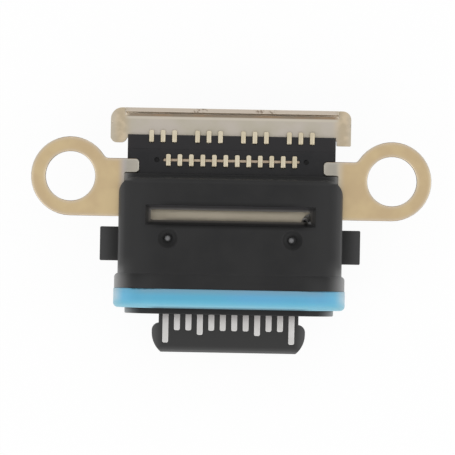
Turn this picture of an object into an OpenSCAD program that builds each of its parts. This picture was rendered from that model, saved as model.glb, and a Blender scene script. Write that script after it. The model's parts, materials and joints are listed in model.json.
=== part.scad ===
// Sealed charging port with a contact tongue, a ring seal, screw ears and a rear solder zone.
// Millimetres. X runs across the port, Y to the rear, Z up. The origin lies midway between the
// two screw holes, on the underside of the ears, so the tongue points along -Y.

/* [Tongue] */
// Plastic beside the outermost blades, at the latch notches
blade_margin = 0.165; // [0.1:0.005:0.2]
// Depth of a latch notch
latch_depth = 0.295; // [0.25:0.005:0.35]
// Thickness of the tongue over its contact faces
tongue_t = 0.7; // [0.65:0.01:0.75]
// Distance from the screw line to the tip of the tongue
tongue_reach = 7.6; // [7.4:0.05:8]
// Distance from the tip of the tongue back to the widest point of its heads
head_l = 0.85; // [0.8:0.01:0.95]
// Length of the straight side at the widest point of a head
head_flat = 0.1; // [0.05:0.01:0.14]
// Radius of the curve from the latch notch out to the head
head_rear_r = 0.32; // [0.31:0.01:0.4]
// Radius of the curve from the head to the tip
head_front_r = 1.1; // [1:0.05:1.4]
// Bevel along the tip of the tongue
tip_bevel = 0.1; // [0.05:0.01:0.14]
// Thickness of the root of the tongue
root_t = 1.5; // [1.45:0.01:1.55]
// Length of the root inside the mouth
root_l = 1.5; // [1.2:0.05:1.8]

/* [Contacts] */
// Distance between neighbouring contacts on the tongue
contact_pitch = 0.5; // [0.49:0.005:0.51]
// Width of a contact blade on the tongue
blade_w = 0.27; // [0.24:0.01:0.3]
// Corner rounding at the ends of a blade
blade_end_r = 0.08; // [0.04:0.01:0.11]
// Thickness of the contact strip
contact_t = 0.12; // [0.1:0.01:0.14]
// How far a blade stands out of the plastic of the tongue
blade_proud = 0.02; // [0.01:0.005:0.03]
// Distance from the tip of the tongue to the signal blades
signal_setback = 0.95; // [0.8:0.01:1.1]
// Distance from the tip of the tongue to the power blades
power_setback = 0.76; // [0.6:0.01:0.8]
// Distance from the tip of the tongue to the ground blades
ground_setback = 0.4; // [0.34:0.01:0.5]
// Inner radius of the lower bend in a contact
contact_bend_r = 0.05; // [0.03:0.01:0.07]
// Width of a solder tail
tail_w = 0.21; // [0.18:0.01:0.25]
// Corner rounding at the ends of a solder tail, seen from above
tail_end_r = 0.06; // [0.03:0.01:0.08]
// Radius of the pressed corner between a riser and its solder tail
tail_corner_r = 0.05; // [0.03:0.01:0.08]
// How far the solder tails stand out of the deck
tail_proud = 0.08; // [0.05:0.01:0.1]
// Front edge of the front solder row, behind the screw line
front_row_y = 0.48; // [0.44:0.01:0.5]
// Length of a tail in the front solder row
front_tail_l = 0.55; // [0.5:0.01:0.6]
// Distance from the front solder row to the seam of the insulators
seam_gap = 0.2; // [0.12:0.01:0.24]
// Distance from the seam to the front edge of the rear solder row
rear_row_gap = 0.29; // [0.22:0.01:0.3]
// Length of a tail in the rear solder row
rear_tail_l = 0.55; // [0.5:0.01:0.6]
// Gap that the rear solder row leaves out on each side, counted in pitches
rear_row_skip = 1; // [0:1:1]
// Straight run at each end of a lead between its blade and its tail
lead_straight = 0.2; // [0.15:0.01:0.3]

/* [Mouth and nose] */
// Room for the plug between the tongue and each end of the mouth
plug_room_x = 0.825; // [0.75:0.005:0.9]
// Room for the plug above and below the tongue
plug_room_z = 0.93; // [0.9:0.01:0.98]
// Wall of the nose round the mouth
nose_wall = 0.39; // [0.3:0.01:0.42]
// Distance from the screw line to the rim of the nose
nose_reach = 5.93; // [5.85:0.01:6.05]
// Wall between the floor of the mouth and the bracket
floor_wall = 0.1; // [0.05:0.01:0.2]
// Lead-in bevel at the rim of the mouth
mouth_bevel = 0.12; // [0.05:0.01:0.15]
// Rounding of the outer rim of the nose
nose_edge_r = 0.05; // [0.03:0.01:0.15]
// Length of the nose that shows in front of the seal
nose_shown = 0.25; // [0.2:0.01:0.35]

/* [Seal] */
// Clearance between the seal and the nose
seal_fit = 0.01; // [0:0.005:0.03]
// Thickness of the seal over the nose
seal_t = 0.5; // [0.45:0.01:0.6]
// Length of the seal along the nose
seal_l = 0.85; // [0.7:0.01:0.9]
// Rounding of the front edge of the seal
seal_front_r = 0.2; // [0.15:0.01:0.4]
// Rounding of the rear edge of the seal
seal_rear_r = 0.06; // [0.03:0.01:0.1]

/* [Housing] */
// Wall of the body at each end of the mouth
body_wall = 0.7; // [0.6:0.01:0.8]
// Rear face of the body, in front of the screw line
body_setback = 0.01; // [0:0.01:0.05]
// Rounding along the top and bottom edges of the body
body_edge_r = 0.6; // [0.4:0.05:0.8]
// Rounding of the rear corners of the body, seen from above
body_corner_r = 0.7; // [0.5:0.05:0.9]
// Rounding of the rear edges of the body, seen from the side
body_rear_r = 0.3; // [0.2:0.02:0.4]
// Length of the flange that backs the seal
flange_l = 0.65; // [0.5:0.01:0.8]
// How much the flange lies below the seal
flange_drop = 0.02; // [0:0.01:0.1]
// Rounding of the rear corners of the flange, seen from above
flange_corner_r = 0.2; // [0.1:0.01:0.25]
// Width of the flat at each end of the flange, taken off its round end
flange_flat = 0.01; // [0.005:0.005:0.03]
// How far the top and bottom of the body stand over the flange
body_raise = 0.03; // [0.02:0.01:0.06]
// How far the collar reaches behind the rear face of the body
collar_l = 0.18; // [0.12:0.01:0.2]
// Wall of the collar beside the insulators
collar_wall = 0.13; // [0.1:0.01:0.15]
// Height of the collar over the deck
collar_rise = 0.3; // [0.2:0.01:0.4]
// Corner rounding of the collar, seen from the rear
collar_r = 0.2; // [0.1:0.01:0.25]
// Corner rounding of the collar, seen from above
collar_corner_r = 0.1; // [0.05:0.01:0.12]
// How far a side lug stands out of the body
lug_out = 0.8; // [0.6:0.01:0.9]
// Length of a side lug
lug_l = 1.48; // [1.2:0.01:1.6]
// Height of a side lug
lug_h = 1.5; // [1.2:0.05:1.8]
// Distance from the screw line to the rear end of the side lugs
lug_y = 2.17; // [2:0.01:2.4]
// Rounding of the outer corners of a side lug
lug_r = 0.06; // [0.03:0.01:0.1]

/* [Window and gate marks] */
// Length of the bracket that shows in the window
window_l = 6.95; // [6.5:0.05:7]
// Width of the bracket that shows in the window
window_w = 0.45; // [0.4:0.01:0.6]
// Distance from the screw line to the middle of the window
window_y = 1.62; // [1.6:0.005:1.7]
// Corner rounding of the window
window_r = 0.1; // [0.05:0.01:0.15]
// Width of the slope round the top of the window
rim_w = 0.22; // [0.15:0.01:0.25]
// Depth of the slope round the top of the window
rim_depth = 0.45; // [0.3:0.01:0.6]
// Radius of the round flake of flash that covers one corner of the window
flash_r = 0.5; // [0.4:0.01:0.6]
// Distance from that corner out to the middle of the flake, along X and along Y
flash_out = 0.1; // [0.05:0.01:0.2]
// Thickness of the flake of flash
flash_t = 0.16; // [0.14:0.01:0.2]
// Diameter of the pin mark in the flake
pin_d = 0.26; // [0.2:0.01:0.3]
// Distance from the right end of the window to the middle of the pin mark
pin_setback = 0.17; // [0.15:0.01:0.2]
// Depth of the pin mark
pin_depth = 0.12; // [0.08:0.01:0.13]
// Distance between the two gate marks
gate_span = 5.42; // [5:0.01:5.6]
// Distance from the screw line to the gate marks
gate_y = 2.64; // [2.55:0.01:2.75]
// Diameter of the dimple round a gate mark
gate_d = 0.88; // [0.7:0.01:0.9]
// Diameter of the floor of the dimple
gate_floor_d = 0.32; // [0.3:0.01:0.4]
// Depth of the dimple
gate_depth = 0.34; // [0.32:0.01:0.4]
// Diameter of the snapped stub in the dimple
stub_d = 0.26; // [0.18:0.01:0.28]
// Height of the round top of the snapped stub over the floor of the dimple
stub_h = 0.28; // [0.2:0.01:0.3]
// How far the right stub stands off the middle of its dimple, towards the middle of the port
right_stub_off = 0.05; // [0:0.01:0.08]

/* [Bracket] */
// Distance between the two screw holes
screw_span = 14; // [13.8:0.05:14.4]
// Diameter of a screw hole
screw_d = 2.15; // [2:0.01:2.3]
// Width of the rim round a screw hole
ear_rim = 0.645; // [0.5:0.005:0.75]
// Thickness of the bracket sheet
bracket_t = 0.3; // [0.25:0.01:0.35]
// Rear edge of the neck of an ear, behind the screw line
neck_rear = 0.81; // [0.76:0.01:0.85]
// Fillet between the neck and the rim of an ear
neck_fillet_r = 0.25; // [0.15:0.01:0.35]
// Gap between the neck of an ear and the side of the insulators
neck_gap = 0.08; // [0.05:0.01:0.12]
// Gap between the collar and the solder tabs
tab_gap = 0; // [0:0.01:0.05]
// Length of the solder tabs from their inner ends to the necks of the ears
tab_l = 0.6; // [0.56:0.01:0.7]
// Corner rounding of the solder tabs
tab_r = 0.17; // [0.1:0.01:0.2]
// How far the band across the housing reaches in front of the window
band_margin = 0.07; // [0.04:0.01:0.1]
// Rear edge of the band, in front of the screw line
band_rear = 0.5; // [0.45:0.01:0.6]

/* [Insulators] */
// Wall of the body beside the insulators
side_wall = 0.34; // [0.3:0.01:0.42]
// Length of the deck behind the front edge of the rear solder row
deck_tail = 0.34; // [0.31:0.01:0.39]
// Bevel along the sides of the deck
deck_bevel = 0.12; // [0.05:0.01:0.15]
// Step on each side from the root out to the waist that the housing is moulded round
waist_step = 0.255; // [0.15:0.005:0.45]
// Depth of the shoulder inside the housing, in front of the screw line
shoulder_y = 0.5; // [0.4:0.01:0.6]
// Diameter of the two core pin holes beside the front solder row
core_pin_d = 0.22; // [0.18:0.01:0.3]
// Distance from the end of the upturned edge to the middle of a core pin hole
core_pin_gap = 0.27; // [0.2:0.01:0.4]
// Depth of the core pin holes
core_pin_depth = 0.25; // [0.15:0.01:0.3]

/* [Mid plate and ground plates] */
// Thickness of the mid plate
mid_t = 0.15; // [0.12:0.01:0.16]
// Distance from the tip of the tongue to the front edge of the mid plate
mid_setback = 0.3; // [0.2:0.01:0.4]
// Distance from the front solder row to the middle of the upturned edge of the mid plate
wall_setback = 0.29; // [0.28:0.005:0.33]
// How much shorter the upturned edge is at each end than the mid plate is wide
wall_inset = 0.07; // [0.03:0.01:0.15]
// Gap between the upturned edge and the tails over it
wall_gap = 0.04; // [0.03:0.01:0.08]
// Thickness of the ground plates
ground_t = 0.1; // [0.08:0.01:0.14]
// Bare root beside a ground plate
ground_inset = 0.445; // [0.25:0.005:0.65]
// Bare root in front of a ground plate
plate_setback = 0.12; // [0.08:0.01:0.2]
// How far a ground plate runs behind the floor of the mouth
ground_tail = 0.9; // [0.7:0.05:1.1]

/* [Rear shield] */
// Length of the shield behind the deck
strip_l = 1.17; // [1.1:0.01:1.25]
// Thickness of the shield sheet
shield_t = 0.18; // [0.15:0.01:0.2]
// Depth of the top of the shield below the underside of the ears
shield_drop = 0.1; // [0.05:0.01:0.15]
// How far the shield reaches under the deck
shield_tuck = 0.15; // [0.1:0.01:0.16]
// Gap between a side arm of the shield and the deck
arm_gap = 0.03; // [0.02:0.01:0.06]
// Width of the left arm
left_arm_w = 0.73; // [0.62:0.01:0.8]
// Width of the right arm
right_arm_w = 0.63; // [0.6:0.01:0.8]
// How far the side arms reach forward beside the deck
arm_l = 0.36; // [0.3:0.01:0.44]
// Corner rounding of the left arm
left_arm_r = 0.27; // [0.1:0.01:0.3]
// Corner rounding of the right arm
right_arm_r = 0.05; // [0.03:0.01:0.1]
// Rounding of the left rear corner of the shield
left_corner_r = 0.5; // [0.3:0.01:0.55]
// Rounding of the right rear corner of the shield
right_corner_r = 0.38; // [0.3:0.01:0.55]
// How far each end of the upturned lip reaches past the side of the deck
lip_out = 0.11; // [0.05:0.01:0.15]
// Inner radius of the bend at the lip
lip_bend_r = 0.17; // [0.1:0.01:0.2]
// Height of the lip over the top of the shield
lip_rise = 0.24; // [0.22:0.01:0.3]
// Shear cut between an end of the lip and the flat corner beside it
lip_relief = 0.01; // [0.005:0.005:0.03]
// Radius of the carrier nicks in the sides of the shield
nick_r = 0.08; // [0.05:0.01:0.1]
// Depth of the carrier nicks, from the top of the shield
nick_depth = 0.09; // [0.05:0.01:0.12]
// Distance from the rear edge to the carrier nicks
nick_setback = 0.65; // [0.6:0.01:0.8]
// How much narrower the shelf under the shield is than the deck, on each side
shelf_inset = 0.22; // [0.1:0.01:0.4]

/* [Hidden] */
$fn = 96;
contact_count = 12;
// Overshoot of a cut past the face that it opens
over = 0.1;
upper_names = [for (i = [1:contact_count]) str("upper_contact_", i)];
lower_names = [for (i = [1:contact_count]) str("lower_contact_", i)];
plain_names = [
    "housing", "seal_ring", "mounting_bracket", "rear_shield", "upper_insulator",
    "lower_insulator", "mid_plate", "upper_ground_plate", "lower_ground_plate"
];

// Widths, from the contacts outwards
notch_w = (contact_count - 1) * contact_pitch + blade_w + 2 * blade_margin;
tongue_w = notch_w + 2 * latch_depth;
wall_w = notch_w - 2 * wall_inset;
core_pin_span = wall_w + 2 * core_pin_gap;
ground_w = tongue_w - 2 * ground_inset;
waist_w = tongue_w + 2 * waist_step;
mouth_w = tongue_w + 2 * plug_room_x;
body_w = mouth_w + 2 * body_wall;
deck_w = body_w - 2 * side_wall;
collar_w = deck_w + 2 * collar_wall;
shelf_w = deck_w - 2 * shelf_inset;
shield_left = -deck_w / 2 - arm_gap - left_arm_w;
shield_right = deck_w / 2 + arm_gap + right_arm_w;
lip_w = deck_w + 2 * lip_out;

// Heights: the bracket lies on the root, and the solder tails are level with its tabs
axis_z = -root_t / 2;
mouth_h = tongue_t + 2 * plug_room_z;
root_top = axis_z + root_t / 2;
root_bottom = axis_z - root_t / 2;
face_top = axis_z + tongue_t / 2;
face_bottom = axis_z - tongue_t / 2;
tail_top = bracket_t;
deck_z = tail_top - tail_proud;
tail_foot = deck_z - contact_t;
wall_top = tail_top - contact_t - wall_gap;
shield_z = -shield_drop;
shield_bottom = shield_z - shield_t;
collar_top = deck_z + collar_rise;
collar_bottom = root_bottom - collar_rise;

// Places along Y
tip_y = -tongue_reach;
head_y = tip_y + head_l;
nose_y = -nose_reach;
band_front = window_y + window_w / 2 + band_margin;
floor_y = -band_front - floor_wall;
root_front_y = floor_y - root_l;
seal_front_y = nose_y + nose_shown;
seal_rear_y = seal_front_y + seal_l;
flange_rear_y = seal_rear_y + flange_l;
body_rear_y = -body_setback;
tab_front = body_rear_y + collar_l + tab_gap;
wall_y = front_row_y + wall_setback;
front_tail_end = front_row_y + front_tail_l;
seam_y = front_tail_end + seam_gap;
rear_row_y = seam_y + rear_row_gap;
rear_tail_end = rear_row_y + rear_tail_l;
deck_rear = rear_row_y + deck_tail;
arm_front = deck_rear - arm_l;
shield_rear = deck_rear + strip_l;
lip_bend_y = shield_rear - shield_t - lip_bend_r;

// Sections round the mouth, all with the same distance between their round ends
end_span = mouth_w - mouth_h;
mouth_r = mouth_h / 2;
nose_r = mouth_r + nose_wall;
seal_r = nose_r + seal_t;
flange_r = seal_r - flange_drop;
body_top = axis_z + flange_r + body_raise;
body_bottom = axis_z - flange_r - body_raise;

// Ears
ear_x = screw_span / 2;
ear_r = screw_d / 2 + ear_rim;
neck_x = deck_w / 2 + neck_gap;
tab_x = neck_x - tab_l;

// Blade of a contact across the port, and its distance from the tip
function blade_x(i) = (i - (contact_count + 1) / 2) * contact_pitch;
function from_middle(i) = abs(i - (contact_count + 1) / 2) + 1 / 2;
function blade_setback(i) =
    from_middle(i) == contact_count / 2 ? ground_setback
    : from_middle(i) == contact_count / 4 ? power_setback
    : signal_setback;

// Tail of a lower contact across the port: groups with a place left out between them
function rear_tail_x(i) =
    sign(blade_x(i)) * contact_pitch
    * (from_middle(i) + (from_middle(i) > contact_count / 4 ? rear_row_skip : 0));

// Extrudes a section drawn in X and Z along Y
module along_y(y_front, y_rear) {
    translate([0, y_rear, 0])
        rotate([90, 0, 0])
            linear_extrude(y_rear - y_front)
                children();
}

// Extrudes a section drawn in Y and Z along X
module along_x(x_left, x_right) {
    translate([x_left, 0, 0])
        rotate([90, 0, 90])
            linear_extrude(x_right - x_left)
                children();
}

// Extrudes an outline drawn in X and Y upwards
module up(z_low, z_high) {
    translate([0, 0, z_low])
        linear_extrude(z_high - z_low)
            children();
}

// Rectangle between two corners
module span_2d(low, high) {
    translate(low)
        square(high - low);
}

// Rectangle between two corners, with round corners
module round_2d(low, high, r) {
    span_2d(low + [r, 0], high - [r, 0]);
    span_2d(low + [0, r], high - [0, r]);
    for (x = [low[0] + r, high[0] - r])
        for (y = [low[1] + r, high[1] - r])
            translate([x, y])
                circle(r);
}

// Outline with round ends, the section of the mouth and of all that surrounds it
module stadium_2d(r) {
    span_2d([-end_span / 2, -r], [end_span / 2, r]);
    for (side = [-1, 1])
        translate([side * end_span / 2, 0])
            circle(r);
}

// Sweeps a half section, drawn as radius and Y, round the mouth
module sweep_round_mouth() {
    translate([0, 0, axis_z])
        rotate([-90, 0, 0])
            for (half = [0, 180])
                rotate([0, 0, half]) {
                    translate([end_span / 2, 0, 0])
                        rotate([0, 0, -90])
                            rotate_extrude(angle = 180)
                                children();
                    translate([-end_span / 2, 0, 0])
                        rotate([90, 0, 90])
                            linear_extrude(end_span)
                                children();
                }
}

// Half section of a solid collar round the mouth, with round outer edges
module collar_2d(y_front, y_rear, r, front_edge_r, rear_edge_r) {
    span_2d([0, y_front], [r - front_edge_r, y_rear - rear_edge_r]);
    span_2d([0, y_front + front_edge_r], [r, y_rear - rear_edge_r]);
    translate([r - front_edge_r, y_front + front_edge_r])
        circle(front_edge_r);
    if (rear_edge_r > 0) {
        span_2d([0, y_front + front_edge_r], [r - rear_edge_r, y_rear]);
        translate([r - rear_edge_r, y_rear - rear_edge_r])
            circle(rear_edge_r);
    }
}

// Quarter of a bent strip, in the quadrant that the two signs name
module quarter_bend_2d(r, t, quadrant) {
    intersection() {
        difference() {
            circle(r + t);
            circle(r);
        }
        translate([quadrant[0] < 0 ? -r - t : 0, quadrant[1] < 0 ? -r - t : 0])
            square(r + t);
    }
}

// Sheet that turns up at its end: the outer face of the wall lies at y_end
module turned_up_2d(y_start, y_end, z_low, z_high, t, r) {
    span_2d([y_start, z_low], [y_end - t - r, z_low + t]);
    translate([y_end - t - r, z_low + t + r])
        quarter_bend_2d(r, t, [1, -1]);
    span_2d([y_end - t, z_low + t + r], [y_end, z_high]);
}

// Hidden part of a contact strip: flat run, bend and riser
module riser_2d(y_start, z_flat, y_riser) {
    r = contact_bend_r;
    t = contact_t;
    span_2d([y_start, z_flat - t], [y_riser - r, z_flat]);
    translate([y_riser - r, z_flat + r])
        quarter_bend_2d(r, t, [1, -1]);
    span_2d([y_riser, z_flat + r], [y_riser + t, tail_foot]);
}

// Top of the riser and the solder tail, with a pressed corner between them
module tail_2d(y_riser, y_end) {
    r = tail_corner_r;
    span_2d([y_riser, tail_foot], [y_riser + contact_t, tail_top - r]);
    span_2d([y_riser + r, tail_top - contact_t], [y_end, tail_top]);
    translate([y_riser + r, tail_top - r])
        circle(r);
}

// Contact strip behind the blade, along the line of its tail
module strip_solid(x, y_start, z_flat, y_riser, y_end) {
    left = x - tail_w / 2;
    right = x + tail_w / 2;
    along_x(left, right)
        riser_2d(y_start, z_flat, y_riser);
    intersection() {
        along_x(left, right)
            tail_2d(y_riser, y_end);
        up(tail_foot, tail_top)
            round_2d([left, y_riser], [right, y_end], tail_end_r);
    }
}

// Outline of the tongue from above, with its latch notches and curved heads
module tongue_2d() {
    front_x = tongue_w / 2 - head_front_r;
    shoulder = head_y + head_flat;
    span_2d([-notch_w / 2, shoulder], [notch_w / 2, root_front_y]);
    span_2d([-tongue_w / 2, head_y], [tongue_w / 2, shoulder]);
    span_2d([-front_x, tip_y], [front_x, head_y]);
    for (side = [0, 1])
        mirror([side, 0]) {
            intersection() {
                translate([front_x, head_y])
                    circle(head_front_r);
                span_2d([0, tip_y], [tongue_w, head_y]);
            }
            intersection() {
                translate([tongue_w / 2 - head_rear_r, shoulder])
                    circle(head_rear_r);
                span_2d([0, shoulder], [tongue_w, root_front_y]);
            }
        }
}

// Tongue with a bevelled tip, as high as its plastic
module tongue_solid() {
    top = face_top - blade_proud;
    bottom = face_bottom + blade_proud;
    difference() {
        up(bottom, top)
            tongue_2d();
        along_x(-tongue_w / 2, tongue_w / 2)
            for (z = [bottom, top])
                polygon([
                    [tip_y, z - tip_bevel],
                    [tip_y + tip_bevel, z],
                    [tip_y, z + tip_bevel],
                    [tip_y - tip_bevel, z]
                ]);
    }
}

// Section of the deck with bevelled sides
module deck_2d() {
    x = deck_w / 2;
    polygon([
        [-x, root_bottom],
        [x, root_bottom],
        [x, deck_z - deck_bevel],
        [x - deck_bevel, deck_z],
        [-x + deck_bevel, deck_z],
        [-x, deck_z - deck_bevel]
    ]);
}

// Room that both insulators take up inside and behind the housing
module core_solid() {
    tongue_solid();
    along_y(root_front_y, floor_y + over)
        span_2d([-tongue_w / 2, root_bottom], [tongue_w / 2, root_top]);
    along_y(floor_y, -shoulder_y + over)
        span_2d([-waist_w / 2, root_bottom], [waist_w / 2, root_top]);
    along_y(-shoulder_y, deck_rear)
        deck_2d();
}

// Room of the upper insulator: all that lies over the middle of the tongue, up to the seam
module upper_half() {
    along_x(-deck_w, deck_w)
        span_2d([tip_y - over, axis_z], [seam_y, tail_top + over]);
}

// Black overmould
module housing() {
    color([0.2, 0.2, 0.205]) {
        difference() {
            union() {
                body_solid();
                flange_solid();
                sweep_round_mouth()
                    collar_2d(nose_y, seal_rear_y + over, nose_r, nose_edge_r, 0);
                rear_collar();
                side_lugs();
            }
            mouth_cut();
            core_solid();
            bracket_solid();
            window_cut();
            window_rim();
            gate_dimples();
        }
        gate_stubs();
        window_flash();
    }
}

// Body with round edges along its length and on all sides of its rear end
module body_solid() {
    intersection() {
        along_y(flange_rear_y, body_rear_y)
            round_2d([-body_w / 2, body_bottom], [body_w / 2, body_top], body_edge_r);
        up(body_bottom, body_top)
            round_2d([-body_w / 2, seal_rear_y], [body_w / 2, body_rear_y], body_corner_r);
        along_x(-body_w / 2, body_w / 2)
            round_2d([seal_rear_y, body_bottom], [body_rear_y, body_top], body_rear_r);
    }
}

// Flange that backs the seal, with its rear corners round
module flange_solid() {
    x = end_span / 2 + flange_r - flange_flat;
    intersection() {
        along_y(seal_rear_y, flange_rear_y)
            translate([0, axis_z])
                stadium_2d(flange_r);
        up(body_bottom, body_top)
            round_2d([-x, seal_rear_y - flange_l], [x, flange_rear_y], flange_corner_r);
    }
}

// Low collar where the insulators leave the body
module rear_collar() {
    front = body_rear_y - body_corner_r;
    rear = body_rear_y + collar_l;
    intersection() {
        along_y(front + collar_corner_r, rear)
            round_2d([-collar_w / 2, collar_bottom], [collar_w / 2, collar_top], collar_r);
        up(collar_bottom, collar_top)
            round_2d([-collar_w / 2, front], [collar_w / 2, rear], collar_corner_r);
    }
}

// Lugs that locate the port between the walls of the device
module side_lugs() {
    up(axis_z - lug_h / 2, axis_z + lug_h / 2)
        round_2d(
            [-body_w / 2 - lug_out, -lug_y - lug_l],
            [body_w / 2 + lug_out, -lug_y],
            lug_r
        );
}

// Mouth with a bevelled rim
module mouth_cut() {
    sweep_round_mouth()
        polygon([
            [0, nose_y - over],
            [mouth_r + mouth_bevel + over, nose_y - over],
            [mouth_r, nose_y + mouth_bevel],
            [mouth_r, floor_y],
            [0, floor_y]
        ]);
}

// Window down to the bracket
module window_cut() {
    up(bracket_t, body_top + over)
        round_2d(
            [-window_l / 2, -window_y - window_w / 2],
            [window_l / 2, -window_y + window_w / 2],
            window_r
        );
}

// Slope on all sides of the top of the window
module window_rim() {
    x = window_l / 2 + rim_w + over;
    y = window_w / 2 + rim_w + over;
    intersection() {
        along_x(-x, x)
            translate([-window_y, 0])
                rim_2d(window_w / 2);
        along_y(-window_y - y, -window_y + y)
            rim_2d(window_l / 2);
    }
}

// Section of the sloping rim over a window of this half width
module rim_2d(half) {
    low = body_top - rim_depth;
    high = body_top + over;
    wide = half + rim_w * (high - low) / rim_depth;
    polygon([[-half, low], [half, low], [wide, high], [-wide, high]]);
}

// Flake of flash across one corner of the window, with a pin mark at its edge
module window_flash() {
    x = window_l / 2;
    y = -window_y - window_w / 2;
    flash_top = bracket_t + flash_t;
    difference() {
        up(bracket_t, flash_top)
            intersection() {
                translate([x + flash_out, y - flash_out])
                    circle(flash_r);
                span_2d([0, -band_front], [x + band_margin, -band_rear]);
            }
        translate([x - pin_setback, y, flash_top - pin_depth])
            cylinder(d = pin_d, h = pin_depth + over);
    }
}

// Place on the floor of a dimple, at this distance across the port
module at_gate(x) {
    translate([x, -gate_y, body_top - gate_depth])
        children();
}

// Conical dimples at the gate marks
module gate_dimples() {
    high = gate_depth + over;
    low_r = gate_floor_d / 2;
    high_r = low_r + (gate_d / 2 - low_r) * high / gate_depth;
    for (side = [-1, 1])
        at_gate(side * gate_span / 2)
            rotate_extrude()
                polygon([[0, 0], [low_r, 0], [high_r, high], [0, high]]);
}

// Stubs that were left where the gates snapped off
module gate_stubs() {
    for (x = [-gate_span / 2, gate_span / 2 - right_stub_off])
        at_gate(x)
            rotate_extrude()
                stub_2d();
}

// Half section of a stub with a round top
module stub_2d() {
    r = stub_d / 2;
    intersection() {
        union() {
            span_2d([0, -over], [r, stub_h - r]);
            translate([0, stub_h - r])
                circle(r);
        }
        span_2d([0, -over], [stub_d, stub_h]);
    }
}

// Silicone ring round the nose
module seal_ring() {
    color([0.35, 0.67, 0.82])
        sweep_round_mouth()
            difference() {
                collar_2d(seal_front_y, seal_rear_y, seal_r, seal_front_r, seal_rear_r);
                span_2d([0, seal_front_y - over], [nose_r + seal_fit, seal_rear_y + over]);
            }
}

// Sheet bracket with screw ears and solder tabs
module mounting_bracket() {
    color([0.77, 0.68, 0.51])
        bracket_solid();
}

module bracket_solid() {
    difference() {
        up(0, bracket_t)
            bracket_2d();
        for (side = [-1, 1])
            translate([side * ear_x, 0, -over])
                cylinder(d = screw_d, h = bracket_t + 2 * over);
    }
}

// Outline of the bracket without its screw holes
module bracket_2d() {
    span_2d([-neck_x - over, -band_front], [neck_x + over, -band_rear]);
    for (side = [0, 1])
        mirror([side, 0]) {
            translate([ear_x, 0])
                circle(ear_r);
            span_2d([neck_x, -ear_r], [ear_x, neck_rear]);
            round_2d([tab_x, tab_front], [neck_x + tab_l, neck_rear], tab_r);
            neck_fillet_2d();
        }
}

// Fillet in the corner between the neck and the rim of an ear
module neck_fillet_2d() {
    f = neck_fillet_r;
    reach = ear_r + f;
    centre = [ear_x - sqrt(pow(reach, 2) - pow(neck_rear + f, 2)), neck_rear + f];
    touch = centre + ([ear_x, 0] - centre) * f / reach;
    difference() {
        polygon([[centre[0], neck_rear], [ear_x, 0], touch]);
        translate(centre)
            circle(f);
    }
}

// Metal strip behind the deck
module rear_shield() {
    color([0.72, 0.69, 0.63])
        shield_solid();
}

module shield_solid() {
    difference() {
        up(shield_bottom, shield_z)
            shield_2d();
        up(shield_bottom - over, shield_z + over)
            span_2d(
                [-lip_w / 2 - lip_relief, lip_bend_y],
                [lip_w / 2 + lip_relief, shield_rear + over]
            );
        for (x = [shield_left, shield_right])
            translate([x, shield_rear - nick_setback, shield_z - nick_depth])
                cylinder(r = nick_r, h = nick_depth + over);
    }
    along_x(-lip_w / 2, lip_w / 2)
        turned_up_2d(
            lip_bend_y - over, shield_rear, shield_bottom, shield_z + lip_rise, shield_t, lip_bend_r
        );
}

// Outline of the shield before its lip is turned up
module shield_2d() {
    mirror([1, 0])
        shield_side_2d(-shield_left, left_arm_w, left_arm_r, left_corner_r);
    shield_side_2d(shield_right, right_arm_w, right_arm_r, right_corner_r);
}

// One side of the shield from past its middle out to x, with its arm
module shield_side_2d(x, arm_w, arm_r, corner_r) {
    front = deck_rear - shield_tuck;
    difference() {
        round_2d([-2 * corner_r, front - 2 * corner_r], [x, shield_rear], corner_r);
        span_2d([-deck_w, 0], [deck_w, front]);
    }
    round_2d([x - arm_w, arm_front], [x, front + corner_r], arm_r);
}

// Blade of a contact on the tongue, from its tip to the floor of the mouth
module blade_2d(i) {
    x = blade_x(i);
    round_2d(
        [x - blade_w / 2, tip_y + blade_setback(i)],
        [x + blade_w / 2, floor_y],
        blade_end_r
    );
}

module upper_contact(i) {
    x = blade_x(i);
    color([0.82, 0.78, 0.68]) {
        up(face_top - contact_t, face_top)
            blade_2d(i);
        strip_solid(x, floor_y - over, face_top, front_row_y, front_tail_end);
    }
}

module lower_contact(i) {
    x = rear_tail_x(i);
    flat = face_bottom + contact_t;
    color([0.82, 0.78, 0.68]) {
        up(face_bottom, flat) {
            blade_2d(i);
            lead_2d(i);
        }
        strip_solid(x, seam_y - over, flat, rear_row_y, rear_tail_end);
    }
}

// Lead of a lower contact: from its blade across to the line of its tail
module lead_2d(i) {
    bend_y = [floor_y - over, floor_y + lead_straight, seam_y - lead_straight, seam_y];
    lead_x = [blade_x(i), blade_x(i), rear_tail_x(i), rear_tail_x(i)];
    left = [for (k = [0:3]) [lead_x[k] - tail_w / 2, bend_y[k]]];
    right = [for (k = [3:-1:0]) [lead_x[k] + tail_w / 2, bend_y[k]]];
    polygon(concat(left, right));
}

// Metal core of the tongue, with its rear edge turned up between the solder rows
module mid_plate() {
    color([0.75, 0.7, 0.58])
        mid_solid();
}

module mid_solid() {
    low = axis_z - mid_t / 2;
    wall_rear = wall_y + mid_t / 2;
    up(low, low + mid_t) {
        difference() {
            tongue_2d();
            span_2d([-tongue_w, tip_y - over], [tongue_w, tip_y + mid_setback]);
        }
        span_2d([-notch_w / 2, root_front_y - over], [notch_w / 2, floor_y]);
        span_2d([-wall_w / 2, floor_y - over], [wall_w / 2, wall_rear - 2 * mid_t]);
    }
    along_x(-wall_w / 2, wall_w / 2)
        turned_up_2d(wall_rear - 3 * mid_t, wall_rear, low, wall_top, mid_t, mid_t);
}

// Plate on the root of the tongue that the plug's springs touch
module ground_plate(z) {
    up(z, z + ground_t)
        span_2d(
            [-ground_w / 2, root_front_y + plate_setback],
            [ground_w / 2, floor_y + ground_tail]
        );
}

module upper_ground_plate() {
    color([0.75, 0.73, 0.68])
        ground_plate(root_top - ground_t);
}

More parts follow.
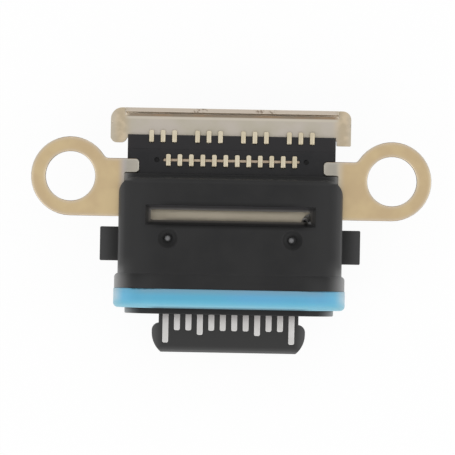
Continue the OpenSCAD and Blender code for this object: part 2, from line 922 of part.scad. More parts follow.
module lower_ground_plate() {
    color([0.75, 0.73, 0.68])
        ground_plate(root_bottom);
}

// Top half of the tongue and the deck of the front solder row
module upper_insulator() {
    color([0.16, 0.16, 0.165])
        difference() {
            intersection() {
                core_solid();
                upper_half();
            }
            mid_solid();
            wall_slot();
            core_pin_holes();
            bracket_solid();
            ground_plate(root_top - ground_t);
            for (i = [1:contact_count])
                upper_contact(i);
        }
}

// Slot over the upturned edge of the mid plate
module wall_slot() {
    up(wall_top - over, deck_z + over)
        span_2d([-wall_w / 2, wall_y - mid_t / 2], [wall_w / 2, wall_y + mid_t / 2]);
}

// Holes that the core pins of the mould left beside the front solder row
module core_pin_holes() {
    for (side = [-1, 1])
        translate([side * core_pin_span / 2, wall_y, deck_z - core_pin_depth])
            cylinder(d = core_pin_d, h = core_pin_depth + over);
}

// Lower half of the tongue, the deck of the rear solder row and the shelf under the shield
module lower_insulator() {
    color([0.16, 0.16, 0.165])
        difference() {
            union() {
                difference() {
                    core_solid();
                    upper_half();
                }
                along_y(deck_rear - over, lip_bend_y)
                    span_2d([-shelf_w / 2, root_bottom], [shelf_w / 2, shield_bottom]);
            }
            mid_solid();
            shield_solid();
            ground_plate(root_bottom);
            for (i = [1:contact_count])
                lower_contact(i);
        }
}

housing();
seal_ring();
mounting_bracket();
rear_shield();
upper_insulator();
lower_insulator();
mid_plate();
upper_ground_plate();
lower_ground_plate();
for (i = [1:contact_count])
    upper_contact(i);
for (i = [1:contact_count])
    lower_contact(i);
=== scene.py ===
# %% [markdown]
# # A sealed charging port
#
# This lesson dresses a small connector, 17 mm wide: a black moulded housing with a blue seal round its nose,
# a tongue with two rows of contacts, a gold bracket with screw ears and a rear solder zone. The solids come
# from a imported model at their real size, in metres. Blender adds the finish of every surface, with painted
# light and shade in many of them, the rounded edges that stamped sheet has, and a light that shows them.

# %% Load the solids
import json
import math

import bpy
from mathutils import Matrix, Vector

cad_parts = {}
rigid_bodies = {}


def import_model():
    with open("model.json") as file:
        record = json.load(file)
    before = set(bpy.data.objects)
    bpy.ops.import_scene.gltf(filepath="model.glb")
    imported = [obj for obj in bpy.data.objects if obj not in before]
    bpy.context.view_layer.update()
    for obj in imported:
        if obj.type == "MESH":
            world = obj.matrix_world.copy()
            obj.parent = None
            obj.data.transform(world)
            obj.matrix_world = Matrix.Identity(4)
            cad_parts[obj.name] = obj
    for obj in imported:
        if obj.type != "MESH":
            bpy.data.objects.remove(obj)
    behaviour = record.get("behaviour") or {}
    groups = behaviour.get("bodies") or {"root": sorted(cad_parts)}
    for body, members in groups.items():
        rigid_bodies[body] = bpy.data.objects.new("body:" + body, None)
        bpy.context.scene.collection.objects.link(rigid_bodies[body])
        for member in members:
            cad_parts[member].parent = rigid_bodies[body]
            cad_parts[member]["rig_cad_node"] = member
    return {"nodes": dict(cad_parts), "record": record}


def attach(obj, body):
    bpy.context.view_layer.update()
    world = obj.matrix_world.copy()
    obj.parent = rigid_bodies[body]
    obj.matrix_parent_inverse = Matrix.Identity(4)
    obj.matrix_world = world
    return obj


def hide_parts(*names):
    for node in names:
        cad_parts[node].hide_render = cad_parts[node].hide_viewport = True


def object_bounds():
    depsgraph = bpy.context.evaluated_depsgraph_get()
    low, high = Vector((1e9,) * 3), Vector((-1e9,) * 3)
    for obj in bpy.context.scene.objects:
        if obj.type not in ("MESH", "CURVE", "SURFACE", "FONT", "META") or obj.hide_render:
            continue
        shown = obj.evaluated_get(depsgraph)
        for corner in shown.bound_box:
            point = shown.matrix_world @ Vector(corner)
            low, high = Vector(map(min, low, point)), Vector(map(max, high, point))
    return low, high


MM = 0.001
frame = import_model()
cad_low, cad_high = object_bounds()
slot_of = {sub["node"]: sub["material_slot"] for sub in frame["record"]["subparts"]}
print("solids", len(frame["nodes"]), "box in mm", [round(v / MM, 2) for v in cad_high - cad_low])


# %% [markdown]
# ## Camera
#
# The port is seen from straight above, so far away that near and far parts keep their scale. An orthographic
# camera could do that, but a long lens at 300 mm also shows a trace of the window's depth. The part lies a
# little turned in the picture, so the camera is turned the other way and the part stays square to its frame.

# %% Camera above the part
VIEW_WIDTH = 19.83 * MM
VIEW_CENTRE = Vector((-0.1215, -2.1255, 0)) * MM
VIEW_TURN = math.radians(1.07)
CAMERA_HEIGHT = 300 * MM
CLIP_REACH = 100

bpy.ops.object.select_all(action="DESELECT")
bpy.ops.object.camera_add(location=VIEW_CENTRE + Vector((0, 0, CAMERA_HEIGHT)), rotation=(0, 0, VIEW_TURN))
camera = bpy.context.active_object
camera.data.lens = camera.data.sensor_width * CAMERA_HEIGHT / VIEW_WIDTH
camera.data.clip_start = CAMERA_HEIGHT / CLIP_REACH
camera.data.clip_end = CAMERA_HEIGHT * CLIP_REACH
bpy.context.scene.camera = camera
print("lens", round(camera.data.lens, 1), "mm")


# %% [markdown]
# ## Studio
#
# Small electronic parts are shot in a white light tent: light comes from all sides, and dark plastic shows
# its shape only where its rounded edges turn away and mirror the tent. The world is that tent. Four large
# soft lamps give it a direction. The floor looks white to the camera and in reflections, and a share of its
# own shading is kept, so the shadow stays.

# %% Helpers that tell seen light from falling light
def seen_directly(nodes, links):
    """1 for camera, mirror and see-through rays, 0 for the light that falls on surfaces."""
    path = nodes.new("ShaderNodeLightPath")
    total = path.outputs["Is Camera Ray"]
    for ray in ("Is Glossy Ray", "Is Transmission Ray"):
        either = nodes.new("ShaderNodeMath")
        either.operation = "MAXIMUM"
        links.new(total, either.inputs[0])
        links.new(path.outputs[ray], either.inputs[1])
        total = either.outputs[0]
    return total


def mix_by_ray(nodes, links, falling, seen, output):
    """Gives the light that falls on surfaces one shader, and what is seen directly another."""
    mixer = nodes.new("ShaderNodeMixShader")
    links.new(seen_directly(nodes, links), mixer.inputs[0])
    links.new(falling.outputs[0], mixer.inputs[1])
    links.new(seen.outputs[0], mixer.inputs[2])
    links.new(mixer.outputs[0], nodes.new(output).inputs["Surface"])


# %% World as a light tent
WHITE = (1, 1, 1, 1)
TENT_LIGHT = 0.72
TENT_SEEN = 1.0


def add_background(nodes, strength):
    """A white background of a given strength."""
    background = nodes.new("ShaderNodeBackground")
    background.inputs["Color"].default_value = WHITE
    background.inputs["Strength"].default_value = strength
    return background


world = bpy.data.worlds.new("light_tent")
world.use_nodes = True
bpy.context.scene.world = world
nodes, links = world.node_tree.nodes, world.node_tree.links
nodes.clear()
lit = add_background(nodes, TENT_LIGHT)
shown = add_background(nodes, TENT_SEEN)
mix_by_ray(nodes, links, lit, shown, "ShaderNodeOutputWorld")
print("tent lights with", TENT_LIGHT, "and is seen as", TENT_SEEN)

# %% Soft lamps: place and size in millimetres, power in watts
LAMPS = {
    "key_lamp": ((-260, -180, 300), 260, 0.32),
    "fill_lamp": ((300, -60, 220), 260, 0.18),
    "rear_lamp": ((40, 330, 240), 220, 0.14),
    "front_lamp": ((0, -340, 170), 240, 0.2),
}
for name, (spot, size, power) in LAMPS.items():
    stand = Vector(spot) * MM
    turn = (VIEW_CENTRE - stand).to_track_quat("-Z", "Y").to_euler()
    bpy.ops.object.light_add(type="AREA", location=stand, rotation=turn)
    lamp = bpy.context.active_object
    lamp.name = name
    lamp.data.size = size * MM
    lamp.data.energy = power
    print(name, round(stand.length / MM), "mm away")

# %% Floor
FLOOR_SIDE = 4.0
FLOOR_PAINT = (0.95, 0.95, 0.95, 1)
FLOOR_GLOW = 1.0
FLOOR_SHADE = 0.06

bpy.ops.mesh.primitive_plane_add(size=FLOOR_SIDE, location=(0, 0, cad_low.z))
floor = bpy.context.active_object
floor.name = "floor"
floor_white = bpy.data.materials.new("floor_white")
floor_white.use_nodes = True
nodes, links = floor_white.node_tree.nodes, floor_white.node_tree.links
nodes.clear()
paint = nodes.new("ShaderNodeBsdfDiffuse")
paint.inputs["Color"].default_value = FLOOR_PAINT
floor_glow = nodes.new("ShaderNodeEmission")
floor_glow.inputs["Strength"].default_value = FLOOR_GLOW
veil = nodes.new("ShaderNodeMixShader")
veil.inputs[0].default_value = FLOOR_SHADE
links.new(floor_glow.outputs[0], veil.inputs[1])
links.new(paint.outputs[0], veil.inputs[2])
mix_by_ray(nodes, links, paint, veil, "ShaderNodeOutputMaterial")
floor.data.materials.append(floor_white)
print("floor at", round(cad_low.z / MM, 2), "mm")


# %% [markdown]
# ## Shared effects
#
# Every finish here needs the same few effects: a grain, and masks that lay one tone over another. An effect
# of several nodes is a node group with named inputs, built once and placed in each material with its own
# values. Patterns follow the object's own coordinates, in metres, so a grain of 0.05 mm has a scale of
# 20000. The nodes could be drawn in the editor. Here small helpers add them one at a time, so that a finish
# reads as a list of layers: a mask, and the tone that it lays over the tone below.

# %% Helpers that add one node
def add_math(tree, operation, *values):
    """Adds a Math node. Sockets are linked, numbers are set."""
    node = tree.nodes.new("ShaderNodeMath")
    node.operation = operation
    for place, value in zip(node.inputs, values):
        if isinstance(value, (int, float)):
            place.default_value = value
        else:
            tree.links.new(value, place)
    return node.outputs[0]


def add_noise(tree, point, scale, detail):
    """Adds a noise at a point. Its scale is a number or a socket."""
    noise = tree.nodes.new("ShaderNodeTexNoise")
    noise.inputs["Detail"].default_value = detail
    tree.links.new(point, noise.inputs["Vector"])
    if isinstance(scale, (int, float)):
        noise.inputs["Scale"].default_value = scale
    else:
        tree.links.new(scale, noise.inputs["Scale"])
    return noise.outputs["Fac"]


def add_range(tree, value, low, high, to_low=0.0, to_high=1.0, smooth=True):
    """Adds a Map Range node from one range to another, clamped."""
    node = tree.nodes.new("ShaderNodeMapRange")
    node.interpolation_type = "SMOOTHSTEP" if smooth else "LINEAR"
    tree.links.new(value, node.inputs["Value"])
    for label, number in (("From Min", low), ("From Max", high), ("To Min", to_low), ("To Max", to_high)):
        node.inputs[label].default_value = number
    return node.outputs["Result"]


# %% Helpers for masks, with places on the part in millimetres
def add_product(tree, first, second):
    """A mask that is full only where both masks are."""
    return add_math(tree, "MULTIPLY", first, second)


def add_rise(tree, value, span, share=1.0, smooth=True):
    """A mask that is 0 up to the span's start and grows to a share at its end."""
    return add_range(tree, value, span[0] * MM, span[1] * MM, 0.0, share, smooth)


def add_fall(tree, value, span, share=1.0, rest=0.0):
    """A mask that is a share up to the span's start and falls to a rest at its end."""
    return add_range(tree, value, span[0] * MM, span[1] * MM, share, rest)


def add_stripe(tree, value, span, soft):
    """A mask that is 1 within the span and fades to 0 over a soft margin at each end."""
    rise = add_rise(tree, value, (span[0] - soft, span[0]))
    fall = add_fall(tree, value, (span[1], span[1] + soft))
    return add_product(tree, rise, fall)


# %% Helpers for tones
PATCHES = (0.35, 0.65)


def add_mix(tree, mask, first, second):
    """Adds a colour mix. Colours are tuples or sockets."""
    node = tree.nodes.new("ShaderNodeMix")
    node.data_type = "RGBA"
    factor, one, two = node.inputs["Factor"], node.inputs[6], node.inputs[7]
    tree.links.new(mask, factor)
    for socket, colour in ((one, first), (two, second)):
        if isinstance(colour, tuple):
            socket.default_value = (*colour, 1)
        else:
            tree.links.new(colour, socket)
    return node.outputs[2]


def add_patches(tree, noise, first, second, span=PATCHES):
    """Two tones in the slow patches of a noise."""
    return add_mix(tree, add_range(tree, noise, *span), first, second)


# %% Helper that makes a node group
def new_group(name, inputs, outputs):
    """Makes a shader group with named sockets, each given as name, kind and default."""
    group = bpy.data.node_groups.new(name, "ShaderNodeTree")
    for label, kind, value in inputs:
        socket = group.interface.new_socket(label, in_out="INPUT", socket_type=kind)
        if value is not None:
            socket.default_value = value
    for label, kind in outputs:
        group.interface.new_socket(label, in_out="OUTPUT", socket_type=kind)
    entry = group.nodes.new("NodeGroupInput").outputs
    leave = group.nodes.new("NodeGroupOutput").inputs
    return group, entry, leave


# %% Grain group: height and roughness of a moulded or etched face
COARSE_SCALE = 0.12
COARSE_HEIGHT = 0.5
NOISE_MEAN = 0.5

grain_group, entry, leave = new_group(
    "surface_grain",
    [
        ("Place", "NodeSocketVector", None),
        ("Grain Scale", "NodeSocketFloat", 16000.0),
        ("Roughness", "NodeSocketFloat", 0.4),
        ("Roughness Spread", "NodeSocketFloat", 0.1),
    ],
    [("Height", "NodeSocketFloat"), ("Roughness", "NodeSocketFloat")],
)
fine = add_noise(grain_group, entry["Place"], entry["Grain Scale"], detail=3.0)
coarse_scale = add_math(grain_group, "MULTIPLY", entry["Grain Scale"], COARSE_SCALE)
coarse = add_noise(grain_group, entry["Place"], coarse_scale, detail=2.0)
grain_height = add_math(grain_group, "MULTIPLY_ADD", coarse, COARSE_HEIGHT, fine)
drift = add_math(grain_group, "SUBTRACT", coarse, NOISE_MEAN)
grain_rough = add_math(grain_group, "MULTIPLY_ADD", drift, entry["Roughness Spread"], entry["Roughness"])
grain_group.links.new(grain_height, leave["Height"])
grain_group.links.new(grain_rough, leave["Roughness"])
print("group", grain_group.name, "with", len(grain_group.nodes), "nodes")


# %% Helpers that start a finish
finishes = {}


def new_finish(name, metallic=0.0, specular=0.5):
    """A material with its shader, and the coordinates that its patterns follow."""
    material = bpy.data.materials.new(name)
    material.use_nodes = True
    finishes[name] = material
    tree = material.node_tree
    shader = tree.nodes["Principled BSDF"]
    shader.inputs["Metallic"].default_value = metallic
    shader.inputs["Specular IOR Level"].default_value = specular
    place = tree.nodes.new("ShaderNodeTexCoord")
    return tree, shader, place


def axes_of(tree, point):
    """The point's X, Y and Z as sockets."""
    split = tree.nodes.new("ShaderNodeSeparateXYZ")
    tree.links.new(point, split.inputs[0])
    return split.outputs


# %% Helper that places the grain
DULLER = 0.25
SOFT_EDGE_SAMPLES = 6


def add_grain(tree, shader, point, scale, roughness, spread, depth, strength, soft_edge=0.0, dull=None):
    """Feeds the grain's roughness and bump to the shader. A dull mask adds roughness."""
    grain = tree.nodes.new("ShaderNodeGroup")
    grain.node_tree = grain_group
    tree.links.new(point, grain.inputs["Place"])
    for label, value in (("Grain Scale", scale), ("Roughness", roughness), ("Roughness Spread", spread)):
        grain.inputs[label].default_value = value
    bump = tree.nodes.new("ShaderNodeBump")
    bump.inputs["Distance"].default_value = depth * MM
    bump.inputs["Strength"].default_value = strength
    tree.links.new(grain.outputs["Height"], bump.inputs["Height"])
    if soft_edge:
        soften = tree.nodes.new("ShaderNodeBevel")
        soften.samples = SOFT_EDGE_SAMPLES
        soften.inputs["Radius"].default_value = soft_edge * MM
        tree.links.new(soften.outputs["Normal"], bump.inputs["Normal"])
    tree.links.new(bump.outputs["Normal"], shader.inputs["Normal"])
    rough = grain.outputs["Roughness"]
    if dull is not None:
        rough = add_math(tree, "MULTIPLY_ADD", dull, DULLER, rough)
    tree.links.new(rough, shader.inputs["Roughness"])


# %% [markdown]
# ## Housing
#
# The housing is a black glass-filled moulding with a satin skin. Black plastic has almost no colour of its
# own, so its look lies in small steps of tone: flow marks, a top that is paler towards its ends, and lugs
# with painted shade at their roots. An image could carry these, but it would need a map of the whole mesh.
# Masks on the part's own axes need none, and they stay sharp at any zoom. Places and radii are in
# millimetres.

# %% Housing: moulded tone
MOULDED_DARK = (0.0175, 0.0175, 0.018)
MOULDED_PALE = (0.022, 0.0218, 0.022)
FLOW_MARKS = (0.3, 0.7)
PALER_ENDS_TONE = (0.0285, 0.0285, 0.0288)
PALER_ENDS = (2.8, 4.2)

tree, shader, place = new_finish("housing_plastic", specular=0.16)
point = place.outputs["Object"]
axes = axes_of(tree, point)
across = axes["X"]
along = axes["Y"]
height = axes["Z"]
off_middle = add_math(tree, "ABSOLUTE", across)
flow = add_noise(tree, point, scale=700, detail=3.0)
tone = add_patches(tree, flow, MOULDED_DARK, MOULDED_PALE, FLOW_MARKS)
# The top is paler towards its ends.
tone = add_mix(tree, add_rise(tree, off_middle, PALER_ENDS, share=0.8), tone, PALER_ENDS_TONE)
print("housing: handled ends begin", PALER_ENDS[0], "mm off the middle")

# %% Housing: lugs, with painted shade at the root
LUG_ALONG = (-3.7, -2.1)
LUG_START = (4.9, 5.0)
LUG_REACH = (4.95, 5.6)
LUG_ROOT_SHADE = (0.0265, 0.0265, 0.0265)
LUG_TIP_LIGHT = (0.057, 0.057, 0.0575)

lug = add_product(tree, add_rise(tree, off_middle, LUG_START), add_stripe(tree, along, LUG_ALONG, soft=0.1))
# Painted shade: each lug is darker at its root, where the body shades it, and lighter towards its tip.
lug_shading = add_mix(tree, add_rise(tree, off_middle, LUG_REACH), LUG_ROOT_SHADE, LUG_TIP_LIGHT)
tone = add_mix(tree, lug, tone, lug_shading)
print("housing: lugs begin", LUG_START[0], "mm off the middle")

# %% [markdown]
# ### The window
#
# A long slot in the top shows the bracket below. The plastic beside it lies in shade, and the slot's walls
# take up light that the metal throws back, the rear wall more than the front one. The even light of the tent
# gives too little of both. So a mask measures how far a point lies outside the slot, and painted shade,
# painted light on the walls and a painted glow at their foot are laid by that distance.

# %% Housing: distance outside the window
WINDOW_LINE = -1.625
WINDOW_HALF_LENGTH = 3.475
WINDOW_HALF_WIDTH = 0.22
REAR_HALF = (WINDOW_LINE, WINDOW_LINE + 0.1)


def add_distance(tree, value, line):
    """How far a value is from a line, to either side."""
    return add_math(tree, "ABSOLUTE", add_math(tree, "SUBTRACT", value, line * MM))


off_side = add_math(tree, "SUBTRACT", add_distance(tree, along, WINDOW_LINE), WINDOW_HALF_WIDTH * MM)
off_end = add_math(tree, "SUBTRACT", off_middle, WINDOW_HALF_LENGTH * MM)
off_window = add_math(tree, "MAXIMUM", off_side, off_end)
rear_half = add_rise(tree, along, REAR_HALF)
print("housing: window", 2 * WINDOW_HALF_LENGTH, "by", 2 * WINDOW_HALF_WIDTH, "mm")

# %% Housing: shade beside the window
ABOVE_SHEET = (0.3, 0.4)
SHADE_REACH = (0.2, 0.42)
SHADE_END = (2.8, 3.7)
REAR_SHORTER = 0.4
SHADE_FRONT = (0.003, 0.003, 0.0031)
SHADE_REAR = (0.009, 0.009, 0.0092)

above_sheet = add_rise(tree, height, ABOVE_SHEET)
shade = add_product(tree, above_sheet, add_fall(tree, off_window, SHADE_REACH))
shade_length = add_math(tree, "MULTIPLY_ADD", rear_half, REAR_SHORTER * MM, off_middle)
shade = add_product(tree, shade, add_fall(tree, shade_length, SHADE_END, rest=0.15))
tone = add_mix(tree, shade, tone, add_mix(tree, rear_half, SHADE_FRONT, SHADE_REAR))
print("housing: shade", SHADE_REACH[1], "mm wide")

# %% Housing: painted light on the window's walls
WALL_HEIGHT = (0.4, 1.36)
WALL_REACH = (0.3, 0.4)
DIM_END = (3.3, 3.5)
WALL_LIGHT_FRONT = (0.02, 0.0195, 0.02)
WALL_LIGHT_REAR = (0.042, 0.041, 0.043)
END_WALL = (-0.02, 0.1)
END_WALL_LIGHT = (0.031, 0.0305, 0.031)

wall = add_stripe(tree, height, WALL_HEIGHT, soft=0.05)
wall = add_product(tree, wall, add_fall(tree, off_window, WALL_REACH))
dim_end = add_fall(tree, across, DIM_END, rest=0.3)
# Painted light on the walls: the light that the metal throws back, more on the rear wall.
wall_light = add_mix(tree, add_product(tree, rear_half, dim_end), WALL_LIGHT_FRONT, WALL_LIGHT_REAR)
wall_light = add_mix(tree, add_rise(tree, off_end, END_WALL), wall_light, END_WALL_LIGHT)
tone = add_mix(tree, wall, tone, wall_light)
print("housing: walls from", WALL_HEIGHT[0], "to", WALL_HEIGHT[1], "mm high")

# %% Housing: glow at the foot of the walls
WALL_FOOT = (-0.02, 0.14)
LEFT_END = (-3.58, -3.42)
GLOW_FRONT = (0.16, 0.15, 0.136)
GLOW_REAR = (0.23, 0.22, 0.21)


def add_rest(tree, mask):
    """What a mask leaves of 1."""
    return add_math(tree, "SUBTRACT", 1.0, mask)


wall_glow = add_product(tree, wall, add_fall(tree, off_window, WALL_FOOT))
wall_glow = add_product(tree, wall_glow, dim_end)
left_corner = add_product(tree, rear_half, add_fall(tree, across, LEFT_END, share=0.62))
wall_glow = add_product(tree, wall_glow, add_rest(tree, left_corner))
tone = add_mix(tree, wall_glow, tone, add_mix(tree, rear_half, GLOW_FRONT, GLOW_REAR))
print("housing: glow", WALL_FOOT[1], "mm wide")

# %% [markdown]
# ### Pin mark and gates
#
# At the window's right end a core pin left torn flash: a thin pale flake, a ridge along a part of a circle
# with a painted highlight, and a hole whose dark is painted shade. In front of the window lie two dimples
# where plastic was injected, with painted light that lifts their shade and a painted highlight on each stub.
# All of these are round or follow a circle, so a node group makes soft round spots for them, and the ridge
# is one spot less a smaller one. The spots of the pin mark leave height out, so that they don't fade down
# the slope.

# %% Spot group: a soft round patch at a place on the object
spot_group, entry, leave = new_group(
    "round_spot",
    [
        ("Place", "NodeSocketVector", None),
        ("Centre", "NodeSocketVector", None),
        ("Full", "NodeSocketFloat", 0.0001),
        ("Ends", "NodeSocketFloat", 0.0002),
    ],
    [("Mask", "NodeSocketFloat")],
)
apart = spot_group.nodes.new("ShaderNodeVectorMath")
apart.operation = "DISTANCE"
spot_group.links.new(entry["Place"], apart.inputs[0])
spot_group.links.new(entry["Centre"], apart.inputs[1])
fade = spot_group.nodes.new("ShaderNodeMapRange")
fade.interpolation_type = "SMOOTHSTEP"
spot_group.links.new(apart.outputs["Value"], fade.inputs["Value"])
spot_group.links.new(entry["Full"], fade.inputs["From Min"])
spot_group.links.new(entry["Ends"], fade.inputs["From Max"])
fade.inputs["To Min"].default_value = 1.0
fade.inputs["To Max"].default_value = 0.0
spot_group.links.new(fade.outputs["Result"], leave["Mask"])
print("group", spot_group.name, "with", len(spot_group.nodes), "nodes")


# %% Helper that places a spot
def add_spot(tree, point, centre, radii):
    """Places the spot group and gives its mask: full up to one radius, and gone at the other."""
    spot = tree.nodes.new("ShaderNodeGroup")
    spot.node_tree = spot_group
    tree.links.new(point, spot.inputs["Place"])
    spot.inputs["Centre"].default_value = Vector(centre) * MM
    spot.inputs["Full"].default_value = radii[0] * MM
    spot.inputs["Ends"].default_value = radii[1] * MM
    return spot.outputs["Mask"]


# %% Housing: flake, and the pin mark's ridge and hole in painted highlight and shade
FLAKE_CENTRE = (3.34, -1.48, 0)
FLAKE_RADII = (0.05, 0.15)
FLAKE_TONE = (0.36, 0.345, 0.32)
RIDGE_CENTRE = (3.147, -2.014, 0)
RIDGE_OUTER = (0.36, 0.4)
RIDGE_INNER = (0.26, 0.3)
RIDGE_RIGHT_OF = (3.08, 3.16)
RIDGE_BEHIND = (-1.95, -1.88)
RIDGE_DARKENS = (3.33, 3.43)
RIDGE_HIGHLIGHTS = ((0.48, 0.47, 0.46), (0.2, 0.2, 0.2))
HOLE_CENTRE = (3.28, -1.945, 0)
HOLE_RADII = (0.04, 0.13)
HOLE_SHADE = (0.006, 0.006, 0.006)

flattened = tree.nodes.new("ShaderNodeCombineXYZ")
tree.links.new(across, flattened.inputs["X"])
tree.links.new(along, flattened.inputs["Y"])
flat_point = flattened.outputs["Vector"]
flake = add_product(tree, wall, add_spot(tree, flat_point, FLAKE_CENTRE, FLAKE_RADII))
tone = add_mix(tree, flake, tone, FLAKE_TONE)
# Painted highlight on the ridge, brighter at its left and dimmer to the right.
outer_disc = add_spot(tree, flat_point, RIDGE_CENTRE, RIDGE_OUTER)
inner_disc = add_spot(tree, flat_point, RIDGE_CENTRE, RIDGE_INNER)
ridge_highlight = add_math(tree, "SUBTRACT", outer_disc, inner_disc)
ridge_highlight = add_product(tree, ridge_highlight, add_rise(tree, across, RIDGE_RIGHT_OF))
ridge_highlight = add_product(tree, ridge_highlight, add_rise(tree, along, RIDGE_BEHIND))
ridge_highlight_tone = add_mix(tree, add_rise(tree, across, RIDGE_DARKENS), *RIDGE_HIGHLIGHTS)
tone = add_mix(tree, ridge_highlight, tone, ridge_highlight_tone)
# Painted shade in the hole.
tone = add_mix(tree, add_spot(tree, flat_point, HOLE_CENTRE, HOLE_RADII), tone, HOLE_SHADE)
print("housing: pin mark's hole at", HOLE_CENTRE[:2], "mm")

# %% Housing: painted light in the gate dimples, from the rim to a highlight on the stub
GATES = ((-2.71, -2.63, 1.32), (2.66, -2.63, 1.32))
GATE_LIGHT_SPOTS = (
    ((0.42, 0.46), (0.0257, 0.0257, 0.026)),
    ((0.14, 0.38), (0.064, 0.064, 0.0645)),
    ((0.05, 0.17), (0.169, 0.169, 0.173)),
)
# Painted light lifts the shade in each dimple, and the smallest spot is a painted highlight on the stub.
for gate in GATES:
    for gate_radii, gate_light in GATE_LIGHT_SPOTS:
        tone = add_mix(tree, add_spot(tree, point, gate, gate_radii), tone, gate_light)
print("housing: gates", len(GATES))

# %% [markdown]
# ### Painted sheen on the ends
#
# The flange, the nose and the body end in wide curves that catch a sheen, which is painted as a pale
# tone. Only faces that lean get it. A node group tells them by their normal, and it also tells the cut sides
# of sheet metal, for the bracket further on. The painted sheen grows outwards by a power, because it is
# strongest at the very end. A fainter painted sheen on the flange and painted highlights on the collar
# behind the body go by their place alone. The gloss stays the same everywhere: one low specular level keeps
# the flat top dark.

# %% Edge group: rolled edge and cut side, from how far a face leans
ROLLED_LEVEL = (0.75, 0.98)
CUT_LEVEL = (0.2, 0.6)
END_LEVEL = (0.65, 0.96)
END_SIDE = (0.1, 0.4)

edge_group, entry, leave = new_group(
    "sheared_edge",
    [("Normal", "NodeSocketVector", None)],
    [("Rolled", "NodeSocketFloat"), ("Cut", "NodeSocketFloat")],
)
facing = axes_of(edge_group, entry["Normal"])
level = add_math(edge_group, "ABSOLUTE", facing["Z"])
side_on = add_math(edge_group, "ABSOLUTE", facing["X"])
rolled_part = add_range(edge_group, level, *ROLLED_LEVEL, 1.0, 0.0)
cut_part = add_range(edge_group, level, *CUT_LEVEL, 1.0, 0.0)
end_part = add_range(edge_group, level, *END_LEVEL, 1.0, 0.0)
end_part = add_product(edge_group, end_part, add_range(edge_group, side_on, *END_SIDE, 1.0, 0.0))
edge_group.links.new(rolled_part, leave["Rolled"])
edge_group.links.new(add_math(edge_group, "MAXIMUM", cut_part, end_part), leave["Cut"])
print("group", edge_group.name, "with", len(edge_group.nodes), "nodes")


# %% Helper that places the edge group
def add_edge(tree, place):
    """Places the edge group, which marks the faces that lean, and gives its masks."""
    edge = tree.nodes.new("ShaderNodeGroup")
    edge.node_tree = edge_group
    tree.links.new(place.outputs["Normal"], edge.inputs["Normal"])
    return edge.outputs


# %% Housing: painted sheen on the front ends and the flanks
END_SHEEN_ALONG = (-4.1, -3.3)
END_SHEEN_FROM = (4.0, 4.8)
END_SHEEN_TONE = (0.055, 0.055, 0.055)
NOSE_ALONG = (-5.75, -5.65)
NOSE_SHORTER = 0.45
FRONT_ALONG = (-4.35, -3.5)
FRONT_ENDS = (4.2, 5.0)
FRONT_POWER = 2.0
FLANK_ENDS = (4.88, 4.98)
SHEEN_TONE = (0.29, 0.29, 0.29)

# A fainter painted sheen on the ends of the flange, which needs no leaning face.
end_sheen = add_product(tree, add_fall(tree, along, END_SHEEN_ALONG), add_rise(tree, off_middle, END_SHEEN_FROM))
tone = add_mix(tree, end_sheen, tone, END_SHEEN_TONE)
# Painted sheen on the leaning faces of the front ends, the nose and the flanks.
nose = add_fall(tree, along, NOSE_ALONG)
end_place = add_math(tree, "MULTIPLY_ADD", nose, NOSE_SHORTER * MM, off_middle)
front_end = add_math(tree, "POWER", add_rise(tree, end_place, FRONT_ENDS, smooth=False), FRONT_POWER)
sheen_front = add_fall(tree, along, FRONT_ALONG)
sheen_flank = add_fall(tree, off_middle, FLANK_ENDS, share=0.22)
sheen_share = add_product(tree, front_end, add_math(tree, "MAXIMUM", sheen_front, sheen_flank))
painted_sheen = add_product(tree, add_edge(tree, place)["Rolled"], sheen_share)
tone = add_mix(tree, painted_sheen, tone, SHEEN_TONE)
print("housing: front worn beyond", FRONT_ENDS[0], "mm off the middle")

# %% Housing: painted highlights on the collar, and satin skin
COLLAR_EDGE = (-0.04, 0.06)
COLLAR_EDGE_HIGHLIGHT = (0.03, 0.03, 0.03)
COLLAR_ALONG = (-0.1, 0.2)
COLLAR_ENDS = (4.05, 4.6)
COLLAR_POWER = 2.8
COLLAR_END_HIGHLIGHT = (0.2, 0.197, 0.19)

# Painted highlight along the rounded rear edge of the body.
collar_edge_highlight = add_product(tree, add_stripe(tree, along, COLLAR_EDGE, soft=0.05), above_sheet)
tone = add_mix(tree, collar_edge_highlight, tone, COLLAR_EDGE_HIGHLIGHT)
# Painted highlight on the body's corners at the ends of the collar.
collar_end_highlight = add_math(tree, "POWER", add_rise(tree, off_middle, COLLAR_ENDS, smooth=False), COLLAR_POWER)
collar_end_highlight = add_product(tree, collar_end_highlight, add_stripe(tree, along, COLLAR_ALONG, soft=0.1))
tone = add_mix(tree, collar_end_highlight, tone, COLLAR_END_HIGHLIGHT)
tree.links.new(tone, shader.inputs["Base Color"])
add_grain(
    tree, shader, point,
    scale=15000, roughness=0.4, spread=0.12, depth=0.004, strength=0.45, soft_edge=0.08,
)
print("housing: finished with", len(tree.nodes), "nodes")

# %% [markdown]
# ## Insulators
#
# The two insulators carry the contacts. They are a smoother, darker plastic than the housing, a little paler
# on the rear deck and on the tongue, with a painted highlight along the tongue's sides and tip. The same
# layers do this with other values, and the Bevel node softens the moulded edges by 0.03 mm.

# %% Insulator plastic
CORE_DARK = (0.006, 0.006, 0.0075)
CORE_PALE = (0.0115, 0.011, 0.0118)
DECK_ALONG = (1.0, 1.4)
DECK_TONE = (0.0145, 0.013, 0.0145)
TONGUE_ALONG = (-6.1, -5.7)
TONGUE_TONE = (0.03, 0.0297, 0.0295)
TONGUE_SIDE = (2.85, 3.4)
TONGUE_TIP = (-7.62, -7.3)
TONGUE_EDGE_HIGHLIGHT = (0.092, 0.092, 0.092)

